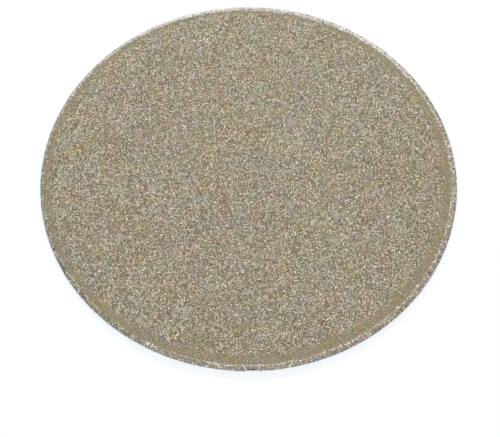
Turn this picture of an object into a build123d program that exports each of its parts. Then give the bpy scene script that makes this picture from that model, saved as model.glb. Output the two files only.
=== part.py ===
from build123d import *
from math import cos, radians, sin
import os

# Flat diamond lap disc with a self-adhesive back, lying with its diamond face up.
# A steel blank carries a nickel plating that holds the diamond crystals on its face
# and around its rolled rim. An adhesive film covers the back, under a split liner.
#
# Frame: millimetres, Z is the disc's axis and points out of the diamond face.
# Z = 0 is the underside of the liner, and X = Y = 0 is the middle of the disc.
# The bare contact spot on the rim faces -Y, the front.

# --- driving dimensions ---

disc_diameter = 150.0  # over the crystals on the rim

liner_thickness = 0.15
adhesive_thickness = 0.15
blank_thickness = 1.2
face_bond_thickness = 0.18
rim_bond_thickness = 0.22  # nickel builds up faster at an edge
crystal_height = 0.15  # how far the crystals stand out of the nickel

edge_radius = 1.7  # the blank's upper edge is rolled over in this radius
edge_sweep = 62.0  # degrees of that arc, from the side wall up to the flat face
roll_facets = 6  # straight steps in which the plated layers follow the arc
foot_chamfer = 0.1  # broken lower edge of the blank
bare_wall = 0.12  # strip of side wall above the back that stays unplated

face_diameter = 146.5  # the face is plated inside a ring mask of this bore
mask_shift = (-0.43, 0.10)  # the mask sat a little off centre
clear_margin = 1.4  # ring just inside the mask where few crystals settled

backing_inset = 0.8  # film and liner stop short of the rim by this much
slit_width = 0.3  # gap between the halves of the liner, where peeling starts

contact_width = 4.7  # spot left bare where the plating contact touched the rim
contact_height = 1.1
contact_x = 1.2

# --- derived dimensions ---

disc_radius = disc_diameter / 2
blank_radius = disc_radius - rim_bond_thickness - crystal_height
backing_radius = disc_radius - backing_inset
mask_radius = face_diameter / 2
crystal_field_radius = mask_radius - clear_margin

blank_back = liner_thickness + adhesive_thickness
blank_top = blank_back + blank_thickness
plating_foot = blank_back + bare_wall
cut_depth = 2 * blank_thickness  # long enough for a cut to pass right through the plating

flat_radius = blank_radius - edge_radius * sin(radians(edge_sweep))
roll_middle = blank_top - edge_radius
wall_top = roll_middle + edge_radius * cos(radians(edge_sweep))

os.makedirs("parts", exist_ok=True)


def layer_outline(growth):
    """Half section of the blank grown by a distance, with facets tangent to its rolled edge."""
    facet_angle = edge_sweep / roll_facets
    reach = edge_radius / cos(radians(facet_angle / 2))
    angles = [radians(facet_angle * (count + 0.5)) for count in range(roll_facets)]
    roll = [(flat_radius + reach * sin(a), roll_middle + reach * cos(a)) for a in angles]
    wall = [(blank_radius, wall_top), (blank_radius, blank_back)]
    with BuildSketch() as outline:
        with BuildLine():
            Polyline((0, blank_back), (0, blank_top), *roll, *wall, close=True)
        make_face()
        if growth:
            offset(amount=growth, kind=Kind.INTERSECTION)
        with Locations((0, plating_foot)):
            Rectangle(disc_radius, cut_depth, align=(Align.MIN, Align.MIN), mode=Mode.INTERSECT)
    return outline.sketch


def layer_section(inner, outer):
    """Half section of the plated layer that lies between two distances from the blank."""
    with BuildSketch() as section:
        add(layer_outline(outer))
        add(layer_outline(inner), mode=Mode.SUBTRACT)
    return section.sketch


# --- steel blank: a stamped disc with its upper edge rolled over ---

with BuildPart() as steel_blank:
    with BuildSketch(Plane.XZ):
        with BuildLine():
            rolled_edge = CenterArc(
                (flat_radius, roll_middle), edge_radius, 90 - edge_sweep, edge_sweep
            )
            Polyline(
                rolled_edge @ 1,
                (0, blank_top),
                (0, blank_back),
                (blank_radius - foot_chamfer, blank_back),
                (blank_radius, blank_back + foot_chamfer),
                rolled_edge @ 0,
            )
        make_face()
    revolve(axis=Axis.Z)
steel_blank.part.label = "steel_blank"
export_step(steel_blank.part, "parts/steel_blank.step")

# --- where the plated layers end: the mask's bore, and the spot under the contact ---

with BuildPart() as mask_bore:
    with BuildSketch(Plane.XY.offset(blank_back)):
        with Locations(mask_shift):
            Circle(mask_radius)
    extrude(amount=cut_depth)

with BuildPart() as crystal_field:
    with BuildSketch(Plane.XY.offset(blank_back)):
        with Locations(mask_shift):
            Circle(crystal_field_radius)
    extrude(amount=cut_depth)

with BuildPart() as contact_spot:
    with BuildSketch(Plane.XZ.offset(blank_radius - cut_depth)):
        with Locations((contact_x, blank_back)):
            Ellipse(contact_width / 2, contact_height)
    extrude(amount=2 * cut_depth)

# --- nickel bond over the face ---

with BuildPart() as face_bond:
    with BuildSketch(Plane.XZ):
        add(layer_section(0, face_bond_thickness))
    revolve(axis=Axis.Z)
    add(mask_bore.part, mode=Mode.INTERSECT)
face_bond.part.label = "face_bond"
export_step(face_bond.part, "parts/face_bond.step")

# --- crystals of the face, as the layer that they stand in ---

with BuildPart() as face_diamonds:
    with BuildSketch(Plane.XZ):
        add(layer_section(face_bond_thickness, face_bond_thickness + crystal_height))
    revolve(axis=Axis.Z)
    add(crystal_field.part, mode=Mode.INTERSECT)
face_diamonds.part.label = "face_diamonds"
export_step(face_diamonds.part, "parts/face_diamonds.step")

# --- nickel bond around the rim ---

with BuildPart() as rim_bond:
    with BuildSketch(Plane.XZ):
        add(layer_section(0, rim_bond_thickness))
    revolve(axis=Axis.Z)
    add([mask_bore.part, contact_spot.part], mode=Mode.SUBTRACT)
rim_bond.part.label = "rim_bond"
export_step(rim_bond.part, "parts/rim_bond.step")

# --- crystals of the rim, as the layer that they stand in ---

with BuildPart() as rim_diamonds:
    with BuildSketch(Plane.XZ):
        add(layer_section(rim_bond_thickness, rim_bond_thickness + crystal_height))
    revolve(axis=Axis.Z)
    add([mask_bore.part, contact_spot.part], mode=Mode.SUBTRACT)
rim_diamonds.part.label = "rim_diamonds"
export_step(rim_diamonds.part, "parts/rim_diamonds.step")

# --- adhesive film over the back of the blank ---

with BuildPart() as adhesive_film:
    with BuildSketch(Plane.XY.offset(liner_thickness)):
        Circle(backing_radius)
    extrude(amount=adhesive_thickness)
adhesive_film.part.label = "adhesive_film"
export_step(adhesive_film.part, "parts/adhesive_film.step")

# --- release liner, slit across the middle so that each half can be peeled off ---

for name, slit_edge, outer_side in (
    ("liner_left", -slit_width / 2, Align.MAX),
    ("liner_right", slit_width / 2, Align.MIN),
):
    with BuildPart() as liner_half:
        with BuildSketch():
            Circle(backing_radius)
            with Locations((slit_edge, 0)):
                Rectangle(
                    disc_radius,
                    disc_diameter,
                    align=(outer_side, Align.CENTER),
                    mode=Mode.INTERSECT,
                )
        extrude(amount=liner_thickness)
    liner_half.part.label = name
    export_step(liner_half.part, f"parts/{name}.step")
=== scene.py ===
import math
import bpy
import numpy as np
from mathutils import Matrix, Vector, noise


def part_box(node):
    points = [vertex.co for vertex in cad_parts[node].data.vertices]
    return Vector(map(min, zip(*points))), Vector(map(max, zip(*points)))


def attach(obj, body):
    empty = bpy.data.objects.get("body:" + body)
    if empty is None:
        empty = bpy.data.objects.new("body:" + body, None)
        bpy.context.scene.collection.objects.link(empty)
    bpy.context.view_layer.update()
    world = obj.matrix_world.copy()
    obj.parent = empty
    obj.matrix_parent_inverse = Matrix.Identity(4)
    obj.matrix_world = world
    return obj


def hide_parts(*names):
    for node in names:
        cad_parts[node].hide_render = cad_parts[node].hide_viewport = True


# Flat diamond lap disc, 150 mm across, lying with its diamond face up. Sizes are in metres, and Z is
# the disc's axis. The sections follow the disc as it is made: the steel blank, the nickel that is plated
# on it, the crystals that the nickel holds, the adhesive film on the back, and the liner over the film.

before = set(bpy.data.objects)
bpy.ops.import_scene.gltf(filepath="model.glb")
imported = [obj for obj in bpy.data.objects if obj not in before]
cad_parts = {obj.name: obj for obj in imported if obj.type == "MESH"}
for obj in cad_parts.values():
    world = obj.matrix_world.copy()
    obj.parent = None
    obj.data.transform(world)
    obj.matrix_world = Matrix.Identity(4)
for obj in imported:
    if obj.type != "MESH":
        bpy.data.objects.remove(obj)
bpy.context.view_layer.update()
mm = 0.001


# --- Steel blank ---
# A disc stamped from cold-rolled sheet, with its upper edge rolled over. The plating hides it, except
# in a strip above the back and where the plating contact touched the rim, which has begun to rust.

class Wire:
    """An output socket of a node tree. Arithmetic on it adds Math nodes, and node() adds any other."""

    def __init__(self, tree, socket=None):
        self.tree = tree
        self.socket = socket

    def node(self, kind, settings=None, sockets=None, output=0):
        """Adds a node: its settings are made first, then its sockets get values or wires."""
        made = self.tree.nodes.new(kind)
        for name, value in (settings or {}).items():
            if name == "stops":
                ramp = made.color_ramp.elements
                while len(ramp) < len(value):
                    ramp.new(1)
                for stop, (position, colour) in zip(ramp, value):
                    stop.position = position
                    stop.color = (*colour, 1)
            else:
                setattr(made, name, value)
        for name, value in (sockets or {}).items():
            plug = self.find(made.inputs, name)
            if isinstance(value, Wire):
                self.tree.links.new(value.socket, plug)
            elif plug.type == "RGBA":
                plug.default_value = (*value, 1)
            else:
                plug.default_value = value
        return Wire(self.tree, self.find(made.outputs, output) if made.outputs else None)

    @staticmethod
    def find(sockets, name):
        """A socket by its number or its name, among those in use."""
        used = [socket for socket in sockets if socket.enabled]
        if isinstance(name, int):
            return used[name]
        return next(socket for socket in used if socket.name == name)

    def other(self, name):
        """Another output of the same node."""
        return Wire(self.tree, self.find(self.socket.node.outputs, name))

    def maths(self, operation, *values):
        return self.node("ShaderNodeMath", {"operation": operation}, dict(enumerate(values)))

    def __add__(self, value):
        return self.maths("ADD", self, value)

    def __sub__(self, value):
        return self.maths("SUBTRACT", self, value)

    def __rsub__(self, value):
        return self.maths("SUBTRACT", value, self)

    def __mul__(self, value):
        return self.maths("MULTIPLY", self, value)

    def __truediv__(self, value):
        return self.maths("DIVIDE", self, value)

    def __pow__(self, value):
        return self.maths("POWER", self, value)

    __radd__ = __add__
    __rmul__ = __mul__


def between(value, low, high):
    """0 below low, 1 above high, and a smooth step from one to the other."""
    return value.node(
        "ShaderNodeMapRange",
        {"interpolation_type": "SMOOTHSTEP"},
        {"Value": value, "From Min": low, "From Max": high},
    )


def mix(share, first, second):
    """A colour between two others."""
    return share.node(
        "ShaderNodeMix", {"data_type": "RGBA"}, {"Factor": share, "A": first, "B": second}
    )


def cloud(place, grain, detail=2.0, seed=0.0):
    """Noise from 0 to 1, whose lumps are about as wide as the given grain."""
    return place.node(
        "ShaderNodeTexNoise",
        {"noise_dimensions": "4D"},
        {"Vector": place, "W": seed, "Scale": 1 / grain, "Detail": detail},
        "Fac",
    )


def start_material(name):
    """A new material, a wire into its tree and the place on the object."""
    material = bpy.data.materials.new(name)
    material.use_nodes = True
    material.node_tree.nodes.clear()
    tree = Wire(material.node_tree)
    return material, tree, tree.node("ShaderNodeTexCoord", output="Object")


def finish_material(tree, **sockets):
    """Adds the Principled shader and the output. An underscore in a name stands for a space."""
    named = {name.replace("_", " "): value for name, value in sockets.items()}
    shader = tree.node("ShaderNodeBsdfPrincipled", {}, named)
    tree.node("ShaderNodeOutputMaterial", {}, {"Surface": shader})


def bump(height, depth, strength=1.0):
    return height.node(
        "ShaderNodeBump", {}, {"Height": height, "Distance": depth, "Strength": strength}
    )


def coat(node, material):
    """Gives a CAD node its finish."""
    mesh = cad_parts[node].data
    mesh.materials.clear()
    mesh.materials.append(material)


blank_low, blank_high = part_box("steel_blank")
blank_radius = blank_high.x
contact_place = (1.2 * mm, -blank_radius, 0.75 * mm)
rust_reach = 2.6 * mm
mottle_size = 1.5 * mm
rolling_grain = 0.15 * mm
rolling_depth = 0.01 * mm
rolled_steel = (0.20, 0.19, 0.18)
oily_steel = (0.09, 0.085, 0.08)
rust_brown = (0.085, 0.045, 0.032)

steel, tree, place = start_material("cold_rolled_steel")
away = tree.node(
    "ShaderNodeVectorMath", {"operation": "DISTANCE"}, {0: place, 1: contact_place}, "Value"
)
mottle = cloud(place, mottle_size, detail=3.0)
rust = between(away + mottle * rust_reach * 0.5, rust_reach * 1.2, rust_reach * 0.9)
sheet_colour = mix(between(mottle, 0.35, 0.65), oily_steel, rolled_steel)
finish_material(
    tree,
    Base_Color=mix(rust, sheet_colour, rust_brown),
    Metallic=0.9 - 0.8 * rust,
    Roughness=0.4 + 0.4 * rust,
    Normal=bump(cloud(place, rolling_grain), rolling_depth),
)
coat("steel_blank", steel)


# --- Nickel bond on the face ---
# Matt nickel, plated over the face inside a ring mask. It grows in small nodules between the crystals,
# and round the edge of the mask it has a smoother margin where fewer and smaller crystals settled.

# Low on the rim the plating and its crystals are painted a dark grey: painted shade at the foot of the
# wall, next to the bench.
foot_shade_top = 0.85 * mm
painted_foot_shade = (0.08, 0.083, 0.087)
red_or_green_size = 6.0 * mm
yellow_or_blue_size = 5.0 * mm
tint_low, tint_high = 0.36, 0.64


def tint(colour, factor):
    """A colour made lighter or darker by a value."""
    grey = factor.node("ShaderNodeCombineColor", {}, {"Red": factor, "Green": factor, "Blue": factor})
    return factor.node(
        "ShaderNodeMix",
        {"data_type": "RGBA", "blend_type": "MULTIPLY"},
        {"Factor": 1.0, "A": colour, "B": grey},
    )


def in_foot_shade(tree, place):
    """1 at the foot of the rim's plating, where painted shade darkens it, and 0 above it."""
    height = tree.node("ShaderNodeSeparateXYZ", {}, {"Vector": place}).other("Z")
    return between(height, foot_shade_top, foot_shade_top * 0.75)


def tinged(place, colour):
    """A colour with faint red, green, yellow and blue tints, in patches a few millimetres wide."""
    red, green = (1.035, 0.974, 0.985), (0.973, 1.022, 1.0)
    yellow, blue = (1.02, 0.985, 0.90), (0.98, 1.005, 1.09)
    cooler = between(cloud(place, yellow_or_blue_size, seed=4.0), tint_low, tint_high)
    greener = between(cloud(place, red_or_green_size, seed=9.0), tint_low, tint_high)

    def tinted(first, second):
        return tuple(c * f * s for c, f, s in zip(colour, first, second))

    reds = mix(cooler, tinted(red, yellow), tinted(red, blue))
    greens = mix(cooler, tinted(green, yellow), tinted(green, blue))
    return mix(greener, reds, greens)


def nickel(name, colour, nodule, roughness, patch_size=2.5 * mm):
    """Plated nickel: a warm grey metal with nodules and faint oxide tints, with painted shade between the
    nodules and a dark grey painted shade at its foot.
    """
    material, tree, place = start_material(name)
    nodules = tree.node(
        "ShaderNodeTexVoronoi",
        {"feature": "SMOOTH_F1"},
        {"Vector": place, "Scale": 1 / nodule, "Smoothness": 0.6},
        "Distance",
    )
    patches = cloud(place, patch_size) - 0.5
    # Darker between the nodules: painted shade in the hollows. The patches make the tone differ at random.
    shade = 1.08 - 0.25 * nodules + 0.12 * patches
    finish_material(
        tree,
        Base_Color=mix(in_foot_shade(tree, place), tint(tinged(place, colour), shade), painted_foot_shade),
        Metallic=0.55,
        Roughness=roughness + 0.25 * patches,
        Normal=bump(1 - nodules, nodule * 0.25, strength=0.6),
    )
    return material


face_low, face_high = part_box("face_bond")
mask_middle = (face_low + face_high) / 2
mask_radius = (face_high.x - face_low.x) / 2
khaki_nickel = (0.205, 0.172, 0.105)
coat("face_bond", nickel("face_nickel", khaki_nickel, nodule=0.22 * mm, roughness=0.5))


# --- Nickel bond around the rim ---
# The rim is plated after the face, and nickel builds up faster at an edge, so this layer is thicker and
# lumpier. It starts in a small ridge at the mask's edge, follows the rolled edge and stops above the back.

edge_radius = 1.7 * mm
edge_sweep = math.radians(62)
contact_half_width = 2.35 * mm
contact_height = 0.95 * mm
contact_fray = 0.35 * mm
fray_size = 0.5 * mm
ridge_height = 0.05 * mm
ridge_width = 0.14 * mm
lump_height = 0.03 * mm
lump_size = 0.7 * mm
flattest_lump = 0.6
hair = 0.001 * mm
steps_around = 1440
steps_across = 24
steps_under = 8

rim_low, rim_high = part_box("rim_bond")
rim_lift = rim_high.x - blank_radius
flat_run = 3 * mm
flat_radius = blank_radius - edge_radius * math.sin(edge_sweep)
roll_middle = blank_high.z - edge_radius
wall_top = roll_middle + edge_radius * math.cos(edge_sweep)
around = np.arange(steps_around) * 2 * math.pi / steps_around


def section_path(lift):
    """The half section at a distance above the blank, as its length so far, radius and height."""
    roll = np.linspace(0, edge_sweep, 80)
    corner = np.linspace(edge_sweep, math.pi / 2, 20)
    radius = np.concatenate([
        [flat_radius - flat_run],
        flat_radius + (edge_radius + lift) * np.sin(roll),
        blank_radius + lift * np.sin(corner),
        [blank_radius + lift],
    ])
    height = np.concatenate([
        [blank_high.z + lift],
        roll_middle + (edge_radius + lift) * np.cos(roll),
        wall_top + lift * np.cos(corner),
        [blank_low.z],
    ])
    length = np.concatenate([[0], np.cumsum(np.hypot(np.diff(radius), np.diff(height)))])
    return length, radius, height


def foot_line():
    """How low the plating reaches at each angle. It is drawn up over the bare contact spot."""
    x = blank_radius * np.cos(around)
    across = np.clip((x - contact_place[0]) / contact_half_width, -1, 1)
    fray = np.array([noise.noise(Vector((step, 0, 0))) for step in x / fray_size])
    raised = blank_low.z + (contact_height + contact_fray * fray) * np.sqrt(1 - across**2)
    return np.where(np.sin(around) < 0, np.maximum(raised, rim_low.z), rim_low.z)


def mask_line():
    """How far from the axis the mask's edge is at each angle."""
    along = mask_middle.x * np.cos(around) + mask_middle.y * np.sin(around)
    aside = mask_middle.x * np.sin(around) - mask_middle.y * np.cos(around)
    return along + np.sqrt(mask_radius**2 - aside**2)


def rim_rows(lift, steps, ridge=0.0, lumps=0.0, inner=0.0, outer=None):
    """Points round the rim at a distance above the blank. They run from the mask's edge to the foot,
    or from a distance inside that edge to a distance outside it."""
    length, radius, height = section_path(lift)
    # The mask's edge is looked up where the section still widens, a hair short of the upright wall.
    rising = radius < blank_radius + lift - hair
    first = np.interp(mask_line(), radius[rising], length[rising])
    last = np.interp(-foot_line(), -height, length)
    share = np.linspace(0, 1, steps)[:, None]
    start = first - inner
    end = last if outer is None else first + outer
    along = start + (end - start) * share
    r = np.interp(along, length, radius)
    z = np.interp(along, length, height)
    step = 0.01 * mm
    out_r = -(np.interp(along + step, length, height) - np.interp(along - step, length, height))
    out_z = np.interp(along + step, length, radius) - np.interp(along - step, length, radius)
    size = np.hypot(out_r, out_z)
    grown = ridge * np.exp(-(((along - first) / ridge_width) ** 2))
    points = np.stack([r * np.cos(around), r * np.sin(around), z], axis=-1)
    if lumps:
        flat = points.reshape(-1, 3) / lump_size
        rough = np.array([noise.noise(Vector(point)) for point in flat]).reshape(r.shape)
        grown = grown + lumps * np.clip(rough, -1, flattest_lump)
    out = np.stack([out_r * np.cos(around), out_r * np.sin(around), out_z], axis=-1)
    return points + out * (grown / size)[..., None]


def woven_mesh(name, rows, closed):
    """A mesh of quads on rows of points that run round the disc, with its faces outwards. When it is
    closed, the last row is joined to the first."""
    count, steps = rows.shape[:2]
    row = np.arange(count if closed else count - 1)[:, None]
    column = np.arange(steps)[None, :]
    after_row = (row + 1) % count
    after_column = (column + 1) % steps
    corners = [
        row * steps + column,
        after_row * steps + column,
        after_row * steps + after_column,
        row * steps + after_column,
    ]
    faces = np.stack([np.broadcast_to(c, (len(row), steps)) for c in corners], axis=-1).reshape(-1, 4)
    mesh = bpy.data.meshes.new(name)
    mesh.from_pydata(rows.reshape(-1, 3).tolist(), [], faces.tolist())
    mesh.update()
    return mesh


def lay_out(mesh, u, v):
    """Gives a mesh its own layout for baked textures, from two numbers for each face corner."""
    layer = mesh.uv_layers.new(name="OFBake")
    layer.data.foreach_set("uv", np.stack([u, v], axis=-1).ravel())


def lay_out_band(mesh, steps, strips=8, strip_fill=0.94):
    """Lays out a band that runs round the disc as strips, one above another."""
    row, column = np.divmod(np.arange(len(mesh.polygons))[:, None], steps)
    rows = len(mesh.polygons) // steps
    per_strip = steps // strips
    across = (row + np.array([0, 1, 1, 0])) / rows
    u = (column % per_strip + np.array([0, 0, 1, 1])) / per_strip
    v = (across * strip_fill + column // per_strip) / strips
    lay_out(mesh, u, v)


def place_in_scene(mesh):
    piece = bpy.data.objects.new(mesh.name, mesh)
    bpy.context.scene.collection.objects.link(piece)
    return piece


sharp_angle = math.radians(50)
skin_top = rim_rows(rim_lift, steps_across, ridge_height, lump_height)
skin_under = rim_rows(0.0, steps_under)[::-1]
skin_mesh = woven_mesh("rim_nickel_skin", np.concatenate([skin_top, skin_under]), closed=True)
lay_out_band(skin_mesh, steps_around)
skin_mesh.shade_smooth()
skin_mesh.set_sharp_from_angle(angle=sharp_angle)
paler_nickel = (0.29, 0.25, 0.165)
skin_mesh.materials.append(nickel("rim_nickel", paler_nickel, nodule=0.3 * mm, roughness=0.42))
rim_skin = place_in_scene(skin_mesh)
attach(rim_skin, "disc")
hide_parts("rim_bond")


# --- Diamond crystals on the face ---
# Crushed diamond, sieved to 30 to 45 mesh, some of it nickel-clad and dull, some clear and bright. The
# spread
# # from dull to bright is partly the grit's own tone and partly painted glints and painted shade. Each
# crystal
# # lies as it fell, and most are sunk to half their height or more in the nickel.

def crystal_material(name, dull, bright, sparkle, lustre, patch_size=1.6 * mm):
    """Diamond grit: each crystal has its own lightness and gloss, and neighbours share a faint tint. The
    brightest crystals are partly painted highlight for glints, the darkest partly painted shade between
    crystals.
    """
    material, tree, _ = start_material(name)
    grain = tree.node("ShaderNodeAttribute", {"attribute_name": "grain"}, output="Vector")
    seat = tree.node("ShaderNodeAttribute", {"attribute_name": "seat"}, output="Vector")
    parts = tree.node("ShaderNodeSeparateXYZ", {}, {"Vector": grain})
    lightness, gloss, kind = (parts.other(axis) for axis in "XYZ")
    patches = cloud(seat, patch_size)
    # The bright tail stands in for glints, the dark end for shade between crystals: painted highlight and
    # painted shade over the grit's own tone.
    share = lightness**sparkle * (0.85 + 0.3 * patches)
    clear = tinged(seat, bright)
    # Low on the rim the crystals take the painted shade of the foot.
    finish_material(
        tree,
        Base_Color=mix(in_foot_shade(tree, seat), mix(share, dull, clear), painted_foot_shade),
        Metallic=0.4 * kind,
        Roughness=0.25 + 0.35 * gloss,
        IOR=lustre,
    )
    return material


def sow_tree():
    """A geometry tree that sows crystals on a surface and sinks each of them in it."""
    group = bpy.data.node_groups.new("sow_crystals", "GeometryNodeTree")
    sizes = {
        "Spacing": 0.30 * mm,
        "Crystal Radius": 0.345 * mm,
        "Highest Stand": 0.15 * mm,
        "Field Radius": 1.0,
        "Fade Width": 1.0,
        "Stray Share": 1.0,
    }
    group.interface.new_socket("Geometry", in_out="INPUT", socket_type="NodeSocketGeometry")
    for name, value in sizes.items():
        socket = group.interface.new_socket(name, in_out="INPUT", socket_type="NodeSocketFloat")
        socket.default_value = value
    group.interface.new_socket("Field Middle", in_out="INPUT", socket_type="NodeSocketVector")
    for name in ("Seed", "Sector", "Sectors"):
        socket = group.interface.new_socket(name, in_out="INPUT", socket_type="NodeSocketInt")
        socket.default_value = 1
    group.interface.new_socket("Finish", in_out="INPUT", socket_type="NodeSocketMaterial")
    group.interface.new_socket("Geometry", in_out="OUTPUT", socket_type="NodeSocketGeometry")

    given = Wire(group).node("NodeGroupInput", output="Geometry")
    here = given.node("GeometryNodeInputPosition")

    def chance(low, high, seed, data_type="FLOAT"):
        return given.node(
            "FunctionNodeRandomValue",
            {"data_type": data_type},
            {"Min": low, "Max": high, "Seed": seed},
        )

    # Crystals settle about a spacing apart, thicker in some places than in others. Towards the ragged
    # edge of the field they get fewer and smaller, down to the strays on the margin.
    tries_per_area = 34 / mm**2
    ragged_size, ragged_depth = 1.2 * mm, 0.9 * mm
    drift_size = 3.0 * mm
    stray_shrink = 0.4
    sown = given.node(
        "GeometryNodeDistributePointsOnFaces",
        {"distribute_method": "POISSON"},
        {
            "Mesh": given,
            "Distance Min": given.other("Spacing"),
            "Density Max": tries_per_area,
            "Seed": given.other("Seed"),
        },
    )
    from_middle = given.node(
        "ShaderNodeVectorMath", {"operation": "DISTANCE"}, {0: here, 1: given.other("Field Middle")}
    )
    ragged = from_middle + (cloud(here, ragged_size, seed=7.0) - 0.5) * ragged_depth
    field_radius = given.other("Field Radius")
    fade = between(ragged, field_radius - given.other("Fade Width"), field_radius)
    settled = 0.72 + 0.56 * cloud(here, drift_size, detail=1.0)
    share = settled * (1 - fade) + given.other("Stray Share") * fade
    missing = share.maths("LESS_THAN", share, chance(0.0, 1.0, seed=17))

    # One piece holds the crystals of one sector, or of all of them if the sector's number is below 0.
    parts = given.node("ShaderNodeSeparateXYZ", {}, {"Vector": here})
    angle = given.maths("ARCTAN2", parts.other("Y"), parts.other("X")) / (2 * math.pi) + 1
    turns = angle.maths("FRACT", angle) * given.other("Sectors")
    off_by = turns.maths("ABSOLUTE", turns.maths("FLOOR", turns) - given.other("Sector"))
    elsewhere = off_by.maths("GREATER_THAN", off_by, 0.5) * off_by.maths(
        "GREATER_THAN", given.other("Sector"), -0.5
    )
    kept = given.node(
        "GeometryNodeDeleteGeometry",
        {"domain": "POINT"},
        {"Geometry": sown, "Selection": elsewhere.maths("MAXIMUM", elsewhere, missing)},
    )

    # Each crystal remembers where it sits, its size, which way is up there, and three numbers of its own
    # for its finish.
    def remember(geometry, name, value, data_type="FLOAT_VECTOR"):
        return given.node(
            "GeometryNodeStoreNamedAttribute",
            {"data_type": data_type, "domain": "POINT"},
            {"Geometry": geometry, "Name": name, "Value": value},
        )

    def vectors(operation, *values):
        return given.node("ShaderNodeVectorMath", {"operation": operation}, dict(enumerate(values)))

    def scaled(vector, factor):
        return given.node("ShaderNodeVectorMath", {"operation": "SCALE"}, {0: vector, "Scale": factor})

    def recall(name):
        return given.node("GeometryNodeInputNamedAttribute", {"data_type": "FLOAT_VECTOR"}, {"Name": name})

    ones = (1.0, 1.0, 1.0)
    zeros = (0.0, 0.0, 0.0)
    grown = chance(0.65, 1.0, seed=11) * given.other("Crystal Radius") * (1 - stray_shrink * fade)
    size = given.node("GeometryNodeInputNamedAttribute", {"data_type": "FLOAT"}, {"Name": "size"})
    marked = remember(kept, "seat", here)
    marked = remember(marked, "size", grown, "FLOAT")
    marked = remember(marked, "up", sown.other("Normal"))
    marked = remember(marked, "grain", chance(zeros, ones, seed=13, data_type="FLOAT_VECTOR"))
    sink = scaled(sown.other("Normal"), chance(-0.35, 0.05, seed=12) * size)
    sunk = given.node("GeometryNodeSetPosition", {}, {"Geometry": marked, "Offset": sink})

    # Octahedra and blocks stand for the two habits of the crystals. Both fit in a ball of radius 1.
    octahedron = given.node("GeometryNodeMeshUVSphere", {}, {"Segments": 4, "Rings": 2, "Radius": 1.0})
    side = 2 / math.sqrt(3)
    block_height = 0.8 * side
    block = given.node("GeometryNodeMeshCube", {}, {"Size": (side, side, block_height)}, "Mesh")
    habits = given.node("GeometryNodeGeometryToInstance")
    for shape in (block, octahedron, octahedron):
        given.tree.links.new(shape.socket, habits.socket.node.inputs[0])
    full_turns = (2 * math.pi, 2 * math.pi, 2 * math.pi)
    any_way = chance(zeros, full_turns, seed=14, data_type="FLOAT_VECTOR")
    turn = given.node("FunctionNodeEulerToRotation", {}, {"Euler": any_way})
    strewn = given.node(
        "GeometryNodeInstanceOnPoints",
        {},
        {
            "Points": sunk,
            "Instance": habits,
            "Pick Instance": True,
            "Instance Index": chance(0, 2, seed=15, data_type="INT"),
            "Rotation": turn,
            "Scale": given.node("ShaderNodeCombineXYZ", {}, {"X": size, "Y": size, "Z": size}),
        },
    )
    real = given.node("GeometryNodeRealizeInstances", {}, {"Geometry": strewn})

    # Every corner is drawn in by its own share, so no two crystals are alike. The highest corners
    # are worn down to one height, as the dressing stone leaves them.
    reach = vectors("SUBTRACT", here, recall("seat"))
    drawn_in = scaled(reach, chance(-0.3, 0.0, seed=16))
    broken = given.node("GeometryNodeSetPosition", {}, {"Geometry": real, "Offset": drawn_in})
    height = vectors("DOT_PRODUCT", reach, recall("up"))
    too_high = height.maths("MINIMUM", given.other("Highest Stand") - height, 0.0)
    broken = given.node(
        "GeometryNodeSetPosition", {}, {"Geometry": broken, "Offset": scaled(recall("up"), too_high)}
    )
    finished = given.node(
        "GeometryNodeSetMaterial", {}, {"Geometry": broken, "Material": given.other("Finish")}
    )
    given.node("NodeGroupOutput", {}, {"Geometry": finished})
    return group


sow_crystals = sow_tree()


def lay_out_crystals(mesh, near=0.3, far=0.7):
    """Each crystal has one finish all over, so it gets one small cell in a square layout, and its faces
    lie from near to far in that cell."""
    own = np.empty((len(mesh.vertices), 3), np.float32)
    mesh.attributes["grain"].data.foreach_get("vector", own.ravel())
    crystal = np.unique(own, axis=0, return_inverse=True)[1].ravel()
    cells = math.ceil(math.sqrt(crystal.max() + 1))
    vertex = np.empty(len(mesh.loops), np.int32)
    mesh.loops.foreach_get("vertex_index", vertex)
    first = np.empty(len(mesh.polygons), np.int32)
    mesh.polygons.foreach_get("loop_start", first)
    sides = np.diff(np.append(first, len(mesh.loops)))
    corner = np.arange(len(mesh.loops)) - np.repeat(first, sides)
    u = crystal[vertex] % cells + np.array([near, far, far, near])[corner]
    v = crystal[vertex] // cells + np.array([near, near, far, far])[corner]
    lay_out(mesh, u / cells, v / cells)
    for name in ("up", "size"):
        mesh.attributes.remove(mesh.attributes[name])


def sow(name, host_mesh, **inputs):
    """Crystals sown on a mesh, as a plain mesh that rides on the disc."""
    host = place_in_scene(host_mesh)
    modifier = host.modifiers.new("sow", "NODES")
    modifier.node_group = sow_crystals
    sockets = {
        item.name: item.identifier
        for item in sow_crystals.interface.items_tree
        if item.in_out == "INPUT"
    }
    for title, value in inputs.items():
        modifier[sockets[title.replace("_", " ")]] = value
    depsgraph = bpy.context.evaluated_depsgraph_get()
    mesh = bpy.data.meshes.new_from_object(host.evaluated_get(depsgraph))
    bpy.data.objects.remove(host)
    mesh.name = name
    # The host's own empty slot comes before the crystals'.
    mesh.materials.pop(index=0)
    lay_out_crystals(mesh)
    piece = place_in_scene(mesh)
    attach(piece, "disc")
    return piece


def disc_mesh(name, radius, height, sides=256):
    """One flat round face, level, with the mask's middle as its own."""
    turns = np.arange(sides) * 2 * math.pi / sides
    points = np.stack([
        mask_middle.x + radius * np.cos(turns),
        mask_middle.y + radius * np.sin(turns),
        np.full(sides, height),
    ], axis=-1)
    mesh = bpy.data.meshes.new(name)
    mesh.from_pydata(points.tolist(), [], [list(range(sides))])
    mesh.update()
    return mesh


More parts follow.
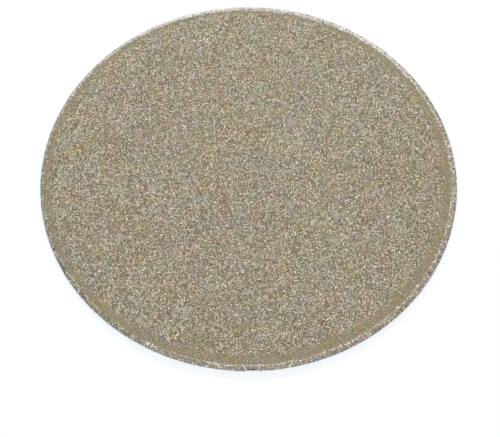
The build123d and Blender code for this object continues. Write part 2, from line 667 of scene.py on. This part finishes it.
# The grit was spread a little off the mask's middle, and its margin is wider towards the contact spot.
face_sectors = 8
mask_gap = 0.1 * mm
grit_drift = Vector((-0.5, 0.8, 0)) * mm
field_low, field_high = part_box("face_diamonds")
field_radius = (field_high.x - field_low.x) / 2
field_middle = mask_middle + grit_drift
face_grit = crystal_material(
    "face_crystals",
    dull=(0.07, 0.052, 0.022),
    bright=(1.0, 0.94, 0.78),
    sparkle=1.55,
    lustre=1.5,
)
for sector in range(face_sectors):
    crystals = sow(
        f"face_crystals_{sector + 1}",
        disc_mesh("face_host", mask_radius - mask_gap, face_high.z),
        Field_Radius=field_radius,
        Field_Middle=field_middle,
        Fade_Width=2.4 * mm,
        Stray_Share=0.75,
        Seed=3,
        Sector=sector,
        Sectors=face_sectors,
        Finish=face_grit,
    )
    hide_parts("face_diamonds")


# --- Diamond crystals on the rim ---
# A coarser and cleaner sieving than on the face, with more of the lustre of bare diamond. It goes
# round the rolled edge and down to the foot of the plating.

rim_stand = 0.10 * mm
rows_left_bare = 2
rim_host = rim_rows(rim_lift, steps_across)
rim_grit = crystal_material(
    "rim_crystals",
    dull=(0.095, 0.078, 0.046),
    bright=(0.95, 0.90, 0.78),
    sparkle=1.9,
    lustre=2.4,
)
rim_crystals = sow(
    "rim_crystals",
    woven_mesh("rim_host", rim_host[:-rows_left_bare], closed=False),
    Spacing=0.42 * mm,
    Crystal_Radius=0.48 * mm,
    Highest_Stand=rim_stand,
    Seed=5,
    Sector=-1,
    Finish=rim_grit,
)
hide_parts("rim_diamonds")

# Along the ridge a second sowing fills the gaps, because the current gathers at the mask's edge.
ridge_rows = 3
ridge_grit = crystal_material(
    "ridge_crystals",
    dull=(0.09, 0.073, 0.04),
    bright=(0.55, 0.50, 0.39),
    sparkle=2.2,
    lustre=2.0,
)
ridge_crystals = sow(
    "ridge_crystals",
    woven_mesh("ridge_host", rim_host[:ridge_rows], closed=False),
    Spacing=0.32 * mm,
    Crystal_Radius=0.42 * mm,
    Highest_Stand=rim_stand,
    Seed=8,
    Sector=-1,
    Finish=ridge_grit,
)
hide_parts("rim_diamonds")

# On the far side of the rim, towards the back lamp, a band of near-white grit reaches a little inside and
# outside
# # the mask's edge: painted highlight for the back lamp's reflection there. It is widest at one turn round
# the rim
# # and tapers off to each side.
brightest_turn = math.radians(84)
highlight_taper = 4
widest_highlight_reach = 0.75 * mm
highlight_reach = widest_highlight_reach * np.clip(np.cos(around - brightest_turn), 0, 1) ** highlight_taper
highlight_steps = 6
far_rim_highlight_grit = crystal_material(
    "far_rim_highlight_crystals",
    dull=(0.12, 0.115, 0.105),
    bright=(0.90, 0.89, 0.86),
    sparkle=1.2,
    lustre=2.4,
)
far_rim_highlight_crystals = sow(
    "far_rim_highlight_crystals",
    woven_mesh("far_rim_highlight_host", rim_rows(rim_lift, highlight_steps, inner=highlight_reach, outer=highlight_reach), closed=False),
    Spacing=0.30 * mm,
    Crystal_Radius=0.40 * mm,
    Highest_Stand=rim_stand,
    Seed=11,
    Sector=-1,
    Finish=far_rim_highlight_grit,
)
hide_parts("rim_diamonds")


# --- Adhesive film ---
# A clear pressure-sensitive film, rolled on the clean back of the blank a little short of its rim.
# It holds the disc on a master lap. Fine bubbles are caught under it.

adhesive, tree, place = start_material("clear_adhesive")
bubble_size = 0.8 * mm
yellow_patch = 8 * mm
ripple_size, ripple_depth = 0.6 * mm, 0.02 * mm
bubbles = between(cloud(place, bubble_size, detail=3.0), 0.6, 0.7)
film_colour = mix(cloud(place, yellow_patch), (0.70, 0.66, 0.52), (0.80, 0.77, 0.66))
finish_material(
    tree,
    Base_Color=mix(bubbles, film_colour, (0.88, 0.87, 0.82)),
    Roughness=0.3 + 0.3 * bubbles,
    Normal=bump(cloud(place, ripple_size), ripple_depth),
)
coat("adhesive_film", adhesive)


# --- Release liner ---
# Brown siliconed kraft paper in two halves, cut with the film in one stroke of the die. The slit
# across the middle is where each half is bent up and peeled off.

paper, tree, place = start_material("siliconed_paper")
fibre_width, fibre_depth = 0.5 * mm, 0.01 * mm
fibre_stretch = (0.35, 1.0, 1.0)
pulp_patch = 6 * mm
fibre_place = tree.node("ShaderNodeMapping", {}, {"Vector": place, "Scale": fibre_stretch})
fibres = cloud(fibre_place, fibre_width, detail=4.0)
clouding = cloud(place, pulp_patch)
finish_material(
    tree,
    Base_Color=mix(0.6 * fibres + 0.4 * clouding, (0.46, 0.33, 0.17), (0.66, 0.51, 0.30)),
    Roughness=0.35 + 0.2 * clouding,
    Normal=bump(fibres, fibre_depth),
)
coat("liner_left", paper)
coat("liner_right", paper)


# --- Bench and light ---
# A white bench under a pale sky. A long lamp behind the disc rakes over it and throws the short shadow
# in front of it. A fill lamp in front lights the rim, one softbox hangs overhead, and a small one
# behind gives the face its sheen.

bench_size = 4.0
bench_height = -0.01 * mm
bounce_white = (0.8, 0.8, 0.8)
seen_paint = (0.31, 0.25, 0.175)
seen_glow = (0.628, 0.708, 0.804)
no_glow = (0.0, 0.0, 0.0)

# The bench lights the disc as white paint does. Where it is seen, itself or in a reflection, a glow makes
# up most of its white, so that the shadow on it stays pale and bluish.
floor, tree, _ = start_material("white_bench")
path = tree.node("ShaderNodeLightPath", output="Is Camera Ray")
shown = path.maths("MAXIMUM", path, path.other("Is Glossy Ray"))
shown = shown.maths("MAXIMUM", shown, path.other("Is Transmission Ray"))
finish_material(
    tree,
    Base_Color=mix(shown, bounce_white, seen_paint),
    Roughness=1.0,
    Specular_IOR_Level=0.0,
    Emission_Color=mix(shown, no_glow, seen_glow),
    Emission_Strength=1.0,
)
bench_mesh = bpy.data.meshes.new("bench")
half = bench_size / 2
bench_corners = [(x * half, y * half, bench_height) for x, y in ((-1, -1), (1, -1), (1, 1), (-1, 1))]
bench_mesh.from_pydata(bench_corners, [], [(0, 1, 2, 3)])
bench_mesh.materials.append(floor)
place_in_scene(bench_mesh)

world = bpy.data.worlds.new("studio")
bpy.context.scene.world = world
world.use_nodes = True
world.node_tree.nodes.clear()
tree = Wire(world.node_tree)
direction = tree.node("ShaderNodeTexCoord", output="Generated")
parts = tree.node("ShaderNodeSeparateXYZ", {}, {"Vector": direction})
sky = tree.node(
    "ShaderNodeValToRGB",
    {
        "stops": [
            (0.0, (0.66, 0.67, 0.71)),
            (0.4, (0.33, 0.34, 0.36)),
            (0.7, (0.34, 0.34, 0.34)),
            (0.9, (1.0, 0.99, 0.97)),
        ]
    },
    {"Fac": parts.other("Z")},
)
seen = tree.node("ShaderNodeLightPath", output="Is Camera Ray")
background = tree.node("ShaderNodeBackground", {}, {"Color": mix(seen, sky, (1.0, 1.0, 1.0))})
tree.node("ShaderNodeOutputWorld", {}, {"Surface": background})


def softbox(name, turn, tilt, distance, size, watts, colour):
    """A lamp aimed at the disc, at a turn round it from the front and a tilt above the bench."""
    lamp = bpy.data.lights.new(name, "AREA")
    lamp.shape = "RECTANGLE"
    lamp.size, lamp.size_y = size
    lamp.energy = watts
    lamp.color = colour
    holder = bpy.data.objects.new(name, lamp)
    bpy.context.scene.collection.objects.link(holder)
    towards = Vector((
        math.sin(math.radians(turn)) * math.cos(math.radians(tilt)),
        -math.cos(math.radians(turn)) * math.cos(math.radians(tilt)),
        math.sin(math.radians(tilt)),
    ))
    holder.location = towards * distance
    holder.rotation_euler = towards.to_track_quat("Z", "Y").to_euler()


softbox(
    "back_lamp", turn=180, tilt=22.5, distance=1.2,
    size=(1.2, 0.08), watts=12.0, colour=(1.0, 0.99, 0.97),
)
softbox(
    "front_fill", turn=0, tilt=18, distance=1.2,
    size=(1.6, 0.3), watts=4.2, colour=(1.0, 1.0, 1.0),
)
softbox(
    "overhead_softbox", turn=0, tilt=88, distance=0.9,
    size=(0.3, 0.3), watts=1.9, colour=(1.0, 1.0, 1.0),
)
softbox(
    "sheen_softbox", turn=180, tilt=52, distance=0.53,
    size=(0.25, 0.25), watts=0.38, colour=(0.98, 0.99, 1.0),
)

camera_tilt = math.radians(61.466)
camera_distance = 0.9
aim = Vector((0.49 * mm, -15.0 * mm, 0.75 * mm))
camera = bpy.data.cameras.new("camera")
camera.lens = 181.56
camera.sensor_width = 36.0
camera_holder = bpy.data.objects.new("camera", camera)
bpy.context.scene.collection.objects.link(camera_holder)
towards = Vector((0, -math.cos(camera_tilt), math.sin(camera_tilt)))
camera_holder.location = aim + towards * camera_distance
camera_holder.rotation_euler = towards.to_track_quat("Z", "Y").to_euler()
bpy.context.scene.camera = camera_holder
bpy.context.scene.view_settings.view_transform = "Standard"
